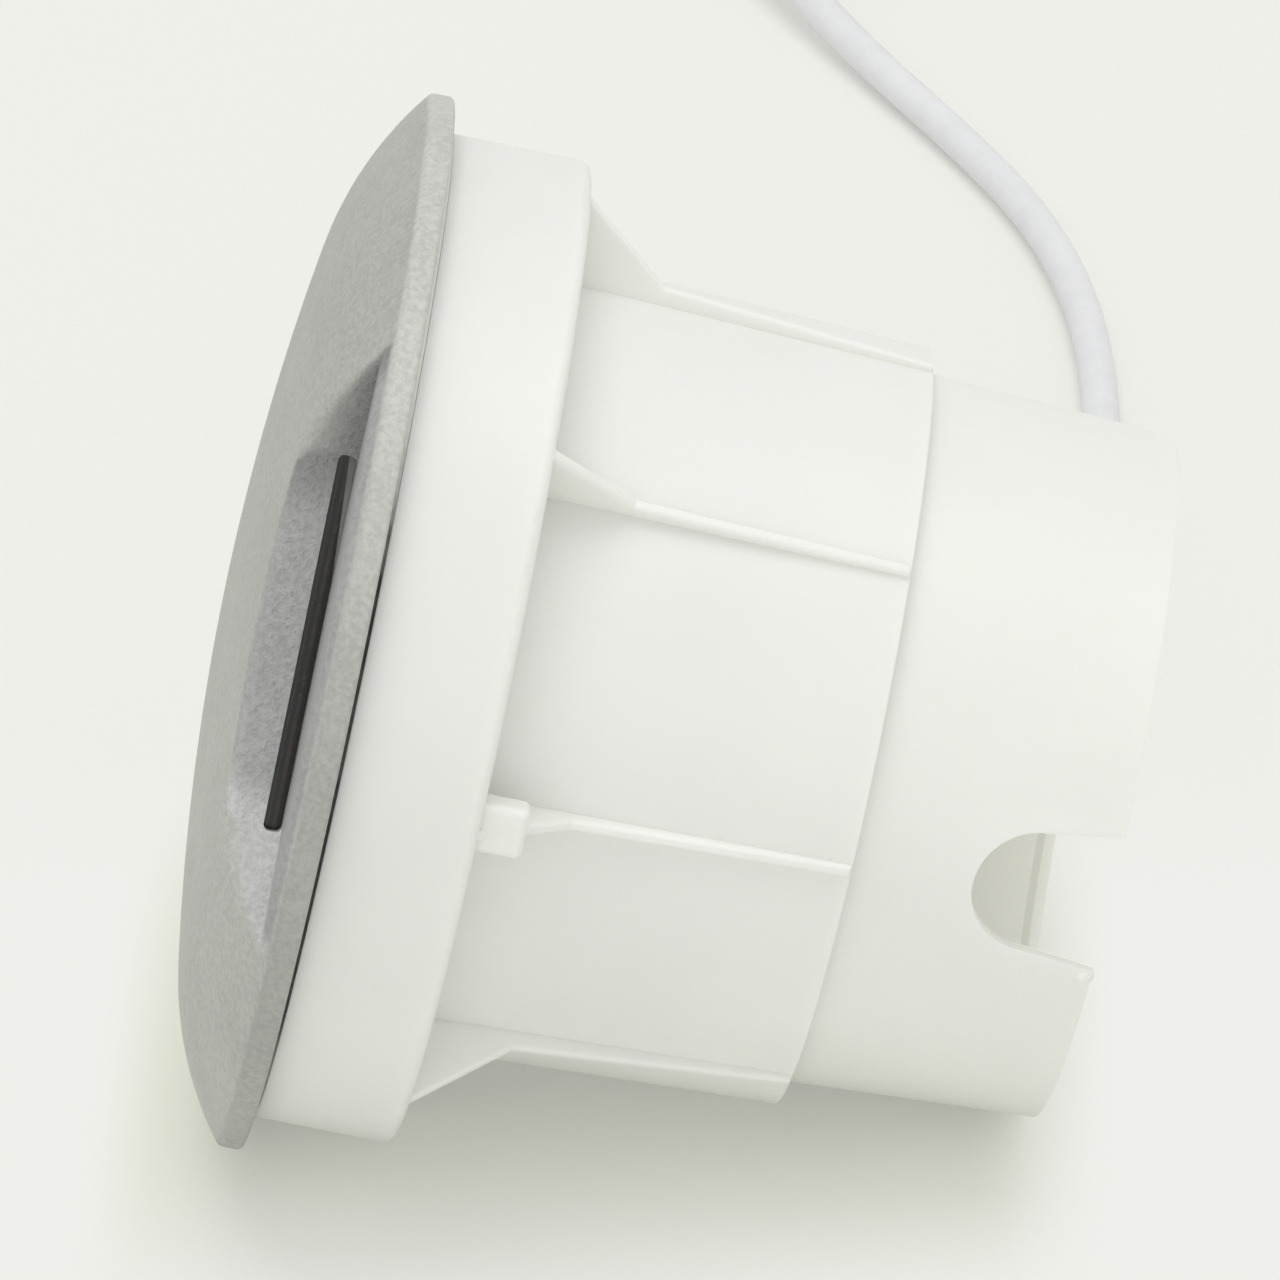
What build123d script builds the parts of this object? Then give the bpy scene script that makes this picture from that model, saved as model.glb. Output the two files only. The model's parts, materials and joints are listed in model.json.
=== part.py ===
from build123d import *
import os
from math import acos, asin, atan2, cos, degrees, hypot, pi, radians, sin, tan

os.makedirs("parts", exist_ok=True)

# An in-ground spotlight lying on its side on a table, +X to its rear, +Y away from the viewer.
# Every piece is drawn about the lamp's own axis: "u" is the distance behind the cover's rim
# plane, and angles count from the top of the lying lamp towards the viewer.

# Cover casting
cover_radius = 50.0
rim_height = 2.1
rim_front_edge = 0.6
rim_rear_edge = 0.4
dome_rise = 9.56
crown_radius = 219.4
shoulder_radius = 33.2
cover_wall = 2.2
cover_bore_radius = 36.5
spigot_wall = 1.5
spigot_depth = 2.0

# Scoop in the cover, and the slot at the foot of its long wall
scoop_angle = 64.04
scoop_floor = -1.27
scoop_depth = 16.8
scoop_back = cover_radius - scoop_depth
scoop_half_foot = 17.4
scoop_flare = 56.5
scoop_draft = 8.0
scoop_corner = 3.0
scoop_lip = 1.2
scoop_wall = 2.0
slot_height = 1.7
slot_depth = 2.4
slot_half_length = 17.4
slot_corner = 0.6
slot_run_out = 0.5

# Window behind the slot
window_thickness = 3.0
window_half_length = 18.4
window_clearance = 0.85
window_rear = 1.4
window_gasket_thickness = 0.4
gasket_margin = 0.4

# Gasket between the cover and the mounting sleeve
gasket_visible = 0.4
gasket_groove_depth = 0.1
gasket_width = 2.0
gasket_proud = 0.15
seat_gap = 0.05

# Mounting sleeve
flange_radius = 46.7
flange_length = 13.2
flange_wall = 2.0
flange_plate = 1.8
flange_edge = 1.0
flange_root = 0.8
sleeve_gap = 1.4
body_taper = 1.5
body_length = 34.35
body_wall = 1.6
step_edge = 1.5
step_drop = 2.2
skirt_taper = 1.3
skirt_length = 24.05
skirt_wall = 1.5
skirt_edge = 1.2
step_plate = 1.6
end_lip_height = 0.4
end_lip_width = 1.0
end_lip_slope = 0.7

# Ribs and gussets on the sleeve
rib_count = 8
rib_angle = 80.8
rib_thickness = 1.1
rib_front_height = 1.7
rib_rear_height = 0.7
rib_edge = 0.4
rib_end_gap = 0.2
gusset_length = 8.4
gusset_tip = 0.8
block_length = 4.2
block_width = 4.8
block_height = 3.2
block_inset = 1.4
block_shift = -0.6
block_edge = 0.7

# Cable notches in the skirt, and the moulded bead beside the near one
notch_radius = 5.9
notch_centre_inset = 6.85
notch_flare = 8.0
bead_radius = 1.1
bead_offset = 0.9
bead_inset = 0.8

# Lamp housing
housing_radius = 33.0
housing_wall = 2.4
housing_rear = 42.0
housing_flange_gap = 0.5
housing_flange_length = 6.0
seal_thickness = 0.8
seal_width = 0.7
mouth_depth = 4.4
collar_height = 0.9
collar_width = 1.2
housing_edge = 1.5

# Spring band that holds the lamp in the sleeve
band_front = 26.0
band_width = 7.0
band_thickness = 0.6
band_gap_angle = 14.0
leaf_rise = 1.1
leaf_span = 46.0
leaf_gap_span = 34.5
leaf_count = 3
leaf_thickness = 0.5
turning_clearance = 0.1
end_clearance = 0.2

# Light engine
sink_thickness = 2.0
sink_clearance = 0.4
fin_count = 5
fin_pitch = 7.0
fin_thickness = 1.6
fin_height = 4.0
fin_length = 34.0
pad_thickness = 0.4
pad_radius = 24.0
board_thickness = 1.6
board_radius = 26.0
chip_count = 6
chip_pitch = 5.6
chip_size = 3.2
chip_height = 0.8
chip_row = 12.0
lens_length = 38.0
lens_width = 9.0
lens_height = 3.4
lens_crown = 1.5
lens_groove_width = 4.6
lens_groove_height = 1.4
reflector_thickness = 0.8
reflector_crest = 5.4
reflector_crest_row = 10.0
reflector_foot = -7.4
reflector_half_length = 17.5
lead_hole_radius = 2.4
lead_hole_row = -16.0
lead_hole_side = 3.5

# Screws
board_screw_radius = 1.4
board_screw_head = 2.6
board_screw_head_height = 1.5
board_screw_row = 21.5
board_screw_count = 3
board_screw_step = 60.0
board_screw_depth = 1.8
cover_screw_radius = 1.9
cover_screw_head = 2.9
cover_screw_head_height = 2.2
cover_screw_edge = 3.3
cover_screw_depth = 2.6
cover_screw_count = 3
screw_clearance = 0.1
drive_width = 2.2
drive_depth = 0.9

# Driver
driver_half_width = 25.0
driver_front = 15.0
driver_length = 21.0
driver_thickness = 1.6
driver_row = -8.0
rail_depth = 2.2
rail_wall = 1.4
rail_opening = 6.4
rail_clearance = 0.1
capacitor_radius = 4.0
capacitor_height = 8.0
capacitor_edge = 0.5
inductor_radius = 6.0
inductor_bore = 2.4
inductor_height = 5.0
terminal_width = 10.0
terminal_depth = 8.0
terminal_height = 9.5
rectifier_size = 7.0
rectifier_height = 2.6
capacitor_place = (20.5, -13.0)
inductor_place = (22.5, 13.0)
rectifier_place = (20.5, 0.0)
terminal_place = (31.0, -13.0)

# Cable gland in the housing's rear wall
gland_thread_radius = 6.0
gland_flat = 8.0
gland_hex_length = 3.0
gland_neck_radius = 6.6
gland_neck_length = 3.0
locknut_length = 2.8
gland_nut_radius = 7.8
gland_nut_length = 6.0
gland_nut_edge = 2.0
gland_seal_length = 4.0
fit_clearance = 0.05

# Cable
cable_diameter = 3.9
cable_exit_inset = 5.4
cable_lead_out = 17.0
cable_lead_in = 12.0
# Places along the free cable: x, y and its clear height over the table
cable_places = [
    (34.5, 73.1, 15.05),
    (37.4, 95.1, 5.45),
    (38.1, 113.1, 0.0),
    (37.5, 131.1, 0.0),
    (35.3, 148.6, 0.0),
    (30.2, 166.6, 0.0),
    (21.8, 184.1, 0.0),
    (11.5, 202.1, 0.45),
    (1.4, 220.5, 2.45),
]
inner_bend_share = 0.92
entry_inner_end = 34.5
lead_diameter = 1.5
lead_spread = 1.9
lead_bend = 1.8
lead_turn_u = 12.9
lead_start = 1.8
coil_turn_radius = 26.6
coil_pitch = 4.42
coil_half_turns = 5
coil_layer_gap = 0.5
coil_centre_x = 13.2
coil_centre_y = 256.6
coil_entry_angle = 207.0
coil_samples = 900
conductor_length = 22.0
conductor_spread = 2.6
ferrule_radius = 1.0
ferrule_length = 8.0
ferrule_collar_radius = 1.45
ferrule_collar_length = 2.4

# How far an edge may lie from its worked-out place and still be the one meant
match_tolerance = 0.01

# Shape of the lamp that follows from these sizes
cable_radius = cable_diameter / 2
body_rear_radius = housing_radius + sleeve_gap + body_wall
body_front_radius = body_rear_radius + body_taper
skirt_front_radius = body_rear_radius - step_drop
skirt_rear_radius = skirt_front_radius - skirt_taper
housing_flange_radius = flange_radius - flange_wall - housing_flange_gap
cover_screw_row = housing_flange_radius - cover_screw_edge
flange_front = rim_height + gasket_visible + seat_gap
flange_rear = flange_front + flange_length
step_u = flange_rear + body_length
skirt_rear = step_u + skirt_length
crown_centre = crown_radius - dome_rise
centre_apart = crown_radius - shoulder_radius
rim_reach = hypot(crown_centre, cover_radius)
join_cosine = (centre_apart**2 + rim_reach**2 - shoulder_radius**2) / (2 * centre_apart * rim_reach)
join_angle = atan2(cover_radius, crown_centre) - acos(join_cosine)
shoulder_u = crown_centre - centre_apart * cos(join_angle)
shoulder_row = centre_apart * sin(join_angle)
skirt_slope = (skirt_front_radius - skirt_rear_radius) / skirt_length
body_slope = (body_front_radius - body_rear_radius) / body_length
notch_u = skirt_rear - notch_centre_inset
housing_front = rim_height + seal_thickness
mouth_radius = cover_bore_radius + spigot_wall + turning_clearance
shelf_u = housing_front + mouth_depth
housing_flange_rear = housing_front + housing_flange_length
housing_bore = housing_radius - housing_wall

# The lying pose: the rim's rear edge and the skirt's end edge both touch the table
rim_edge_u = rim_height - rim_rear_edge
rim_edge_row = cover_radius - rim_rear_edge
end_edge_u = skirt_rear - skirt_edge
end_edge_row = skirt_rear_radius + skirt_edge * skirt_slope - skirt_edge * hypot(1, skirt_slope)
edge_run = end_edge_u - rim_edge_u
edge_drop = rim_edge_row - end_edge_row
tilt = atan2(edge_drop, edge_run) + asin((rim_rear_edge - skirt_edge) / hypot(edge_run, edge_drop))
axis_height = rim_edge_u * sin(tilt) + rim_edge_row * cos(tilt) + rim_rear_edge
front_reach = shoulder_u * cos(tilt) - shoulder_row * sin(tilt) - shoulder_radius
rear_reach = end_edge_u * cos(tilt) + end_edge_row * sin(tilt) + skirt_edge
lamp_origin = Vector(-(front_reach + rear_reach) / 2, 0, axis_height)
rearward = Vector(cos(tilt), 0, -sin(tilt))
lamp_up = Vector(sin(tilt), 0, cos(tilt))
lamp_axis = Axis(lamp_origin, rearward)


def outward(angle):
    """Direction square to the lamp's axis, at an angle from its top towards the viewer."""
    return lamp_up * cos(radians(angle)) + Vector(0, -sin(radians(angle)), 0)


def across(u, angle=0.0):
    """Plane square to the axis at u, with its local X along the given angle."""
    return Plane(origin=lamp_origin + rearward * u, x_dir=outward(angle), z_dir=rearward)


def along(angle=0.0):
    """Plane through the axis: local X runs rearward from the rim plane, local Y outward."""
    side = rearward.cross(outward(angle))
    return Plane(origin=lamp_origin, x_dir=rearward, z_dir=side)


def lamp_point(u, row, angle):
    """Point at u, at the distance row from the axis."""
    return lamp_origin + rearward * u + outward(angle) * row


def dome_front(row, depth=0.0):
    """Place along the axis of the dome's surface, or of its inside at that depth."""
    if row <= (crown_radius - depth) * sin(join_angle):
        return crown_centre - ((crown_radius - depth) ** 2 - row**2) ** 0.5
    return shoulder_u - ((shoulder_radius - depth) ** 2 - (row - shoulder_row) ** 2) ** 0.5


def dome_arcs(rim_row, depth=0.0):
    """The dome's crown arc and shoulder arc out to a row, or those of its inside at that depth."""
    join_row = (crown_radius - depth) * sin(join_angle)
    if join_row >= rim_row:
        # The row lies on the crown, whose arc is then drawn in two halves
        join_row = rim_row / 2
    crown_rows = (0, join_row / 2, join_row)
    shoulder_rows = (join_row, (join_row + rim_row) / 2, rim_row)
    crown_arc = ThreePointArc(*[(dome_front(row, depth), row) for row in crown_rows])
    shoulder_arc = ThreePointArc(*[(dome_front(row, depth), row) for row in shoulder_rows])
    return crown_arc, shoulder_arc


def window_plane(row):
    """Plane square to the scoop's direction: local X runs rearward, local Y along the slot."""
    return Plane(
        origin=lamp_origin + outward(scoop_angle) * row,
        x_dir=rearward,
        z_dir=outward(scoop_angle),
    )


def finish(builder, label):
    """Name a finished piece and write it."""
    builder.part.label = label
    export_step(builder.part, f"parts/{label}.step")


def smooth_radii(points):
    """Radius of each corner of a route, as large as its two runs allow."""
    radii = []
    for before, corner, after in zip(points, points[1:], points[2:]):
        run_in = corner - before
        run_out = after - corner
        half_turn = radians(run_in.get_angle(run_out)) / 2
        radii.append(0.45 * min(run_in.length, run_out.length) / tan(half_turn))
    return radii


# The scoop's outline, seen along the axis: a foot behind, and two sides that flare outward
scoop_reach = cover_radius + scoop_wall
scoop_side = scoop_half_foot + (scoop_reach - scoop_back) * tan(radians(scoop_flare))
scoop_outline = [
    (scoop_back, -scoop_half_foot),
    (scoop_reach, -scoop_side),
    (scoop_reach, scoop_side),
    (scoop_back, scoop_half_foot),
]

# Space under the dome, with the scoop's walls and floor left standing
with BuildPart() as cover_hollow:
    with BuildSketch(along()):
        with BuildLine():
            hollow_crown, hollow_shoulder = dome_arcs(cover_bore_radius, cover_wall)
            Polyline(
                hollow_shoulder @ 1,
                (rim_height + spigot_depth, cover_bore_radius),
                (rim_height + spigot_depth, 0),
                hollow_crown @ 0,
            )
        make_face()
    revolve(axis=lamp_axis)
    with BuildSketch(across(scoop_floor + scoop_wall, scoop_angle)):
        Polygon(*scoop_outline, align=None)
        offset(amount=scoop_wall, kind=Kind.INTERSECTION)
    extrude(amount=-(dome_rise + scoop_wall), mode=Mode.SUBTRACT)

gasket_outer = flange_radius + gasket_proud
gasket_inner = gasket_outer - gasket_width


def lies_on_dome(edge):
    """Whether an edge lies on the dome, and isn't the circle where its two arcs meet."""
    off_axis = edge @ 0.5 - lamp_origin
    u = off_axis.dot(rearward)
    row = (off_axis - rearward * u).length
    on_join = abs(row - crown_radius * sin(join_angle)) < match_tolerance
    return abs(u - dome_front(row)) < match_tolerance and not on_join


with BuildPart() as cover:
    with BuildSketch(along()):
        with BuildLine():
            dome_crown, dome_shoulder = dome_arcs(cover_radius)
            Polyline(
                dome_shoulder @ 1,
                (rim_height, cover_radius),
                (rim_height, cover_bore_radius + spigot_wall),
                (rim_height + spigot_depth, cover_bore_radius + spigot_wall),
                (rim_height + spigot_depth, 0),
                dome_crown @ 0,
            )
        make_face()
    revolve(axis=lamp_axis)
    for place, edge_radius in ((0, rim_front_edge), (-1, rim_rear_edge)):
        circles = cover.edges().filter_by(GeomType.CIRCLE)
        rim_circles = circles.filter_by(lambda e: abs(e.radius - cover_radius) < match_tolerance)
        fillet(rim_circles.sort_by(lamp_axis)[place], radius=edge_radius)
    add(cover_hollow.part, mode=Mode.SUBTRACT)
    with BuildSketch(across(scoop_floor, scoop_angle)) as scoop_sketch:
        Polygon(*scoop_outline, align=None)
        fillet(scoop_sketch.vertices().group_by(Axis.X)[0], radius=scoop_corner)
    extrude(amount=-(dome_rise + scoop_wall), taper=-scoop_draft, mode=Mode.SUBTRACT)
    fillet(cover.edges(Select.LAST).filter_by(lies_on_dome), radius=scoop_lip)
    with BuildSketch(window_plane(scoop_back + slot_run_out)):
        with Locations((scoop_floor - slot_height / 2, 0)):
            RectangleRounded(slot_height, 2 * slot_half_length, slot_corner)
    extrude(amount=-2 * slot_depth, mode=Mode.SUBTRACT)
    with BuildSketch(across(rim_height)):
        Circle(gasket_outer + seat_gap)
        Circle(gasket_inner - seat_gap, mode=Mode.SUBTRACT)
    extrude(amount=-gasket_groove_depth, mode=Mode.SUBTRACT)
    with BuildSketch(across(rim_height, scoop_angle)):
        with PolarLocations(cover_screw_row, cover_screw_count, start_angle=180 / cover_screw_count):
            Circle(cover_screw_radius + screw_clearance)
    extrude(amount=-cover_screw_depth - screw_clearance, mode=Mode.SUBTRACT)
finish(cover, "cover")
print("cover volume", round(cover.part.volume, 1), "valid", cover.part.is_valid)
print("tilt", round(degrees(tilt), 3), "lamp origin", [round(place, 3) for place in lamp_origin])

# Dark gasket squeezed between the cover's rim and the sleeve, seated in a shallow groove
with BuildPart() as cover_gasket:
    with BuildSketch(across(rim_height - gasket_groove_depth)):
        Circle(gasket_outer)
        Circle(gasket_inner, mode=Mode.SUBTRACT)
    extrude(amount=gasket_groove_depth + gasket_visible)
finish(cover_gasket, "cover_gasket")

# Ring seal round the cover's spigot
seal_bore = cover_bore_radius + spigot_wall + fit_clearance
with BuildPart() as housing_seal:
    with BuildSketch(across(rim_height)):
        Circle(seal_bore + seal_width)
        Circle(seal_bore, mode=Mode.SUBTRACT)
    extrude(amount=seal_thickness)
finish(housing_seal, "housing_seal")

# Window gasket and window glass, standing behind the slot
window_row = scoop_back - scoop_wall - window_gasket_thickness
window_corner_row = hypot(window_row + window_gasket_thickness, window_half_length)
window_front = dome_front(window_corner_row, cover_wall) + window_clearance
window_height = window_rear - window_front
window_middle = (window_rear + window_front) / 2
gasket_window_front = scoop_floor - slot_height - gasket_margin
gasket_window_rear = scoop_floor + gasket_margin

with BuildPart() as window_gasket:
    with BuildSketch(window_plane(window_row)):
        with Locations((window_middle, 0)):
            Rectangle(window_height, 2 * window_half_length)
        with Locations(((gasket_window_front + gasket_window_rear) / 2, 0)):
            Rectangle(
                gasket_window_rear - gasket_window_front,
                2 * (slot_half_length + gasket_margin),
                mode=Mode.SUBTRACT,
            )
    extrude(amount=window_gasket_thickness)
finish(window_gasket, "window_gasket")

with BuildPart() as window_glass:
    with BuildSketch(window_plane(window_row)):
        with Locations((window_middle, 0)):
            Rectangle(window_height, 2 * window_half_length)
    extrude(amount=-window_thickness)
finish(window_glass, "window_glass")

# Light engine: heat sink, pad, board, chips, lens and reflector, stacked towards the front
sink_front = shelf_u - sink_thickness
board_rear = sink_front - pad_thickness
board_front = board_rear - board_thickness
chip_places = [(chip_row, (i - (chip_count - 1) / 2) * chip_pitch) for i in range(chip_count)]


def board_screw_places():
    """Polar places of the board's screws, on the side away from the window."""
    return PolarLocations(
        board_screw_row,
        board_screw_count,
        start_angle=180 - board_screw_step,
        angular_range=(board_screw_count - 1) * board_screw_step,
        endpoint=True,
    )


with BuildPart() as heat_sink:
    with BuildSketch(across(sink_front, scoop_angle)):
        Circle(mouth_radius - sink_clearance)
    extrude(amount=sink_thickness)
    with BuildSketch(across(shelf_u, scoop_angle)):
        with GridLocations(0, fin_pitch, 1, fin_count):
            Rectangle(fin_length, fin_thickness)
    extrude(amount=fin_height)
    with BuildSketch(across(sink_front, scoop_angle)):
        with board_screw_places():
            Circle(board_screw_radius + screw_clearance)
        with Locations((lead_hole_row, lead_hole_side)):
            Circle(lead_hole_radius)
    extrude(amount=sink_thickness, mode=Mode.SUBTRACT)
finish(heat_sink, "heat_sink")

with BuildPart() as thermal_pad:
    with BuildSketch(across(board_rear, scoop_angle)):
        Circle(pad_radius)
        with board_screw_places():
            Circle(board_screw_radius + screw_clearance, mode=Mode.SUBTRACT)
        with Locations((lead_hole_row, lead_hole_side)):
            Circle(lead_hole_radius, mode=Mode.SUBTRACT)
    extrude(amount=pad_thickness)
finish(thermal_pad, "thermal_pad")

with BuildPart() as led_board:
    with BuildSketch(across(board_front, scoop_angle)):
        Circle(board_radius)
        with board_screw_places():
            Circle(board_screw_radius + screw_clearance, mode=Mode.SUBTRACT)
        with Locations((lead_hole_row, lead_hole_side)):
            Circle(lead_hole_radius, mode=Mode.SUBTRACT)
    extrude(amount=board_thickness)
finish(led_board, "led_board")

with BuildPart() as led_chips:
    with BuildSketch(across(board_front, scoop_angle)):
        with Locations(*chip_places):
            Rectangle(chip_size, chip_size)
    extrude(amount=-chip_height)
finish(led_chips, "led_chips")

lens_groove_length = (chip_count - 1) * chip_pitch + 2 * chip_size
with BuildPart() as optic_lens:
    with BuildSketch(across(board_front, scoop_angle)):
        with Locations((chip_row, 0)):
            Rectangle(lens_width, lens_length)
    extrude(amount=-lens_height)
    fillet(optic_lens.edges().group_by(lamp_axis)[0], radius=lens_crown)
    with BuildSketch(across(board_front, scoop_angle)):
        with Locations((chip_row, 0)):
            Rectangle(lens_groove_width, lens_groove_length)
    extrude(amount=-lens_groove_height, mode=Mode.SUBTRACT)
finish(optic_lens, "optic_lens")

reflector_row = window_row - window_thickness - gasket_margin
with BuildPart() as reflector:
    with BuildSketch(along(scoop_angle)):
        with BuildLine():
            outer_curve = ThreePointArc(
                (window_front, reflector_row),
                (-reflector_crest, reflector_crest_row),
                (board_front, reflector_foot),
            )
            inner_curve = ThreePointArc(
                (window_front + reflector_thickness, reflector_row),
                (reflector_thickness - reflector_crest, reflector_crest_row),
                (board_front, reflector_foot + reflector_thickness),
            )
            Line(outer_curve @ 0, inner_curve @ 0)
            Line(outer_curve @ 1, inner_curve @ 1)
        make_face()
    extrude(amount=reflector_half_length, both=True)
finish(reflector, "reflector")

with BuildPart() as board_screws:
    with BuildSketch(across(board_front, scoop_angle)):
        with board_screw_places():
            Circle(board_screw_head)
    extrude(amount=-board_screw_head_height)
    with BuildSketch(across(board_front, scoop_angle)):
        with board_screw_places():
            Circle(board_screw_radius)
    extrude(amount=board_thickness + pad_thickness + board_screw_depth)
    with BuildSketch(across(board_front - board_screw_head_height, scoop_angle)):
        with board_screw_places():
            RegularPolygon(drive_width / 2, 6)
    extrude(amount=drive_depth, mode=Mode.SUBTRACT)
finish(board_screws, "board_screws")

# Cast housing: a flanged can with a bored rear wall, two collars and two rails for the driver
rail_back = driver_row - driver_thickness / 2 - rail_clearance
rail_front = driver_row + driver_thickness / 2 + rail_clearance
collar_places = [
    band_front - end_clearance - collar_width,
    band_front + band_width + end_clearance,
]
with BuildPart() as lamp_housing:
    with BuildSketch(along()) as housing_sketch:
        with BuildLine():
            Polyline(
                (housing_front, mouth_radius),
                (housing_front, housing_flange_radius),
                (housing_flange_rear, housing_flange_radius),
                (housing_flange_rear, housing_radius),
                (housing_rear, housing_radius),
                (housing_rear, gland_thread_radius + fit_clearance),
                (housing_rear - housing_wall, gland_thread_radius + fit_clearance),
                (housing_rear - housing_wall, housing_bore),
                (shelf_u, housing_bore),
                (shelf_u, mouth_radius),
                close=True,
            )
        make_face()
        housing_corners = housing_sketch.vertices()
        fillet(housing_corners.sort_by_distance((housing_rear, housing_radius))[0], radius=housing_edge)
        for place in collar_places:
            with Locations((place + collar_width / 2, housing_radius)):
                Rectangle(collar_width, 2 * collar_height)
    revolve(axis=lamp_axis)
    with BuildSketch(across(driver_front, scoop_angle)):
        with BuildLine():
            Polyline(
                (rail_back - rail_wall, -housing_radius),
                (rail_front + rail_wall, -housing_radius),
                (rail_front + rail_wall, housing_radius),
                (rail_back - rail_wall, housing_radius),
                close=True,
            )
        make_face()
        with Locations((driver_row, 0)):
            Rectangle(rail_opening, 2 * (driver_half_width - rail_depth), mode=Mode.SUBTRACT)
            Rectangle(
                driver_thickness + 2 * rail_clearance,
                2 * (driver_half_width + rail_clearance),
                mode=Mode.SUBTRACT,
            )
        Circle(housing_bore + housing_wall / 2, mode=Mode.INTERSECT)
    extrude(amount=housing_rear - housing_wall - driver_front)
    with BuildSketch(across(housing_front, scoop_angle)):
        with PolarLocations(cover_screw_row, cover_screw_count, start_angle=180 / cover_screw_count):
            Circle(cover_screw_radius + screw_clearance)
    extrude(amount=housing_flange_length, mode=Mode.SUBTRACT)
finish(lamp_housing, "lamp_housing")

with BuildPart() as cover_screws:
    with BuildSketch(across(housing_flange_rear, scoop_angle)):
        with PolarLocations(cover_screw_row, cover_screw_count, start_angle=180 / cover_screw_count):
            Circle(cover_screw_head)
    extrude(amount=cover_screw_head_height)
    with BuildSketch(across(housing_flange_rear, scoop_angle)):
        with PolarLocations(cover_screw_row, cover_screw_count, start_angle=180 / cover_screw_count):
            Circle(cover_screw_radius)
    extrude(amount=-(housing_flange_rear - rim_height + cover_screw_depth))
    with BuildSketch(across(housing_flange_rear + cover_screw_head_height, scoop_angle)):
        with PolarLocations(cover_screw_row, cover_screw_count, start_angle=180 / cover_screw_count):
            RegularPolygon(drive_width / 2, 6)
    extrude(amount=-drive_depth, mode=Mode.SUBTRACT)
finish(cover_screws, "cover_screws")

# Split spring band round the housing, with bowed leaves that press on the sleeve
band_bore = housing_radius + turning_clearance
band_outer = band_bore + band_thickness
leaf_step = 360 / leaf_count


def around(radius, angle):
    """Local point at a radius and an angle on a plane square to the axis."""
    return (radius * cos(radians(angle)), radius * sin(radians(angle)))


with BuildPart() as spring_band:
    with BuildSketch(across(band_front)):
        Circle(band_outer)
        for i in range(leaf_count):
            crown = i * leaf_step
            with BuildLine():
                leaf_arc = ThreePointArc(
                    around(band_outer - leaf_thickness / 2, crown - leaf_span / 2),
                    around(band_outer + leaf_rise, crown),
                    around(band_outer - leaf_thickness / 2, crown + leaf_span / 2),
                )
                Line(leaf_arc @ 1, leaf_arc @ 0)
            make_face()
            with BuildLine():
                leaf_gap = ThreePointArc(
                    around(band_outer, crown - leaf_gap_span / 2),
                    around(band_outer + leaf_rise - leaf_thickness, crown),
                    around(band_outer, crown + leaf_gap_span / 2),
                )
                ThreePointArc(leaf_gap @ 1, around(band_outer, crown), leaf_gap @ 0)
            make_face(mode=Mode.SUBTRACT)
        Circle(band_bore, mode=Mode.SUBTRACT)
        gap_reach = 2 * band_outer
        Polygon(
            (0, 0),
            around(gap_reach, leaf_step / 2 - band_gap_angle / 2),
            around(gap_reach, leaf_step / 2 + band_gap_angle / 2),
            align=None,
            mode=Mode.SUBTRACT,
        )
    extrude(amount=band_width)
finish(spring_band, "spring_band")

# Driver board with its components, slid into the housing's rails
with BuildPart() as driver_board:
    with BuildSketch(across(driver_front, scoop_angle)):
        with Locations((driver_row, 0)):
            Rectangle(driver_thickness, 2 * driver_half_width)
    extrude(amount=driver_length)
finish(driver_board, "driver_board")

driver_face = window_plane(driver_row + driver_thickness / 2)
with BuildPart() as capacitor:
    with BuildSketch(driver_face):
        with Locations(capacitor_place):
            Circle(capacitor_radius)
    extrude(amount=capacitor_height)
    fillet(capacitor.edges().group_by(Axis(lamp_origin, outward(scoop_angle)))[-1], radius=capacitor_edge)
finish(capacitor, "capacitor")

with BuildPart() as inductor:
    with BuildSketch(driver_face):
        with Locations(inductor_place):
            Circle(inductor_radius)
            Circle(inductor_bore, mode=Mode.SUBTRACT)
    extrude(amount=inductor_height)
    fillet(inductor.edges().filter_by(GeomType.CIRCLE), radius=inductor_bore / 2)
finish(inductor, "inductor")

with BuildPart() as rectifier:
    with BuildSketch(driver_face):
        with Locations(rectifier_place):
            Rectangle(rectifier_size, rectifier_size)
    extrude(amount=rectifier_height)
finish(rectifier, "rectifier")

with BuildPart() as terminal_block:
    with BuildSketch(driver_face):
        with Locations(terminal_place):
            Rectangle(terminal_depth, terminal_width)
    extrude(amount=terminal_height)
finish(terminal_block, "terminal_block")


def wire(points, radius, bends):
    """Round wire or tube along a route, rounded at its corners."""
    with BuildPart() as tube:
        with BuildLine() as route:
            FilletPolyline(*points, radius=bends)
        with BuildSketch(Plane(origin=route.line @ 0, z_dir=route.line % 0)):
            Circle(radius)
        sweep(path=route.line)
    length = sum(edge.length for edge in route.edges())
    ratio = tube.part.volume / (pi * radius**2 * length)
    print("tube length", round(length, 1), "volume ratio", round(ratio, 4))
    return tube


def inside(u, row, side):
    """Point in the lamp: u behind the rim plane, row towards the scoop, side along its slot."""
    return lamp_point(u, row, scoop_angle) + rearward.cross(outward(scoop_angle)) * side


# The two leads from the driver through the heat sink to the chips' board
lead_radius = lead_diameter / 2
lead_row = driver_row + driver_thickness / 2 + lead_radius
for label, shift in (("lead_positive", -lead_spread / 2), ("lead_negative", lead_spread / 2)):
    side = lead_hole_side + shift
    lead_route = [
        inside(driver_front + lead_start, lead_row, side),
        inside(lead_turn_u, lead_row, side),
        inside(lead_turn_u, lead_hole_row, side),
        inside(board_front, lead_hole_row, side),
    ]
    finish(wire(lead_route, lead_radius, lead_bend), label)

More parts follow.
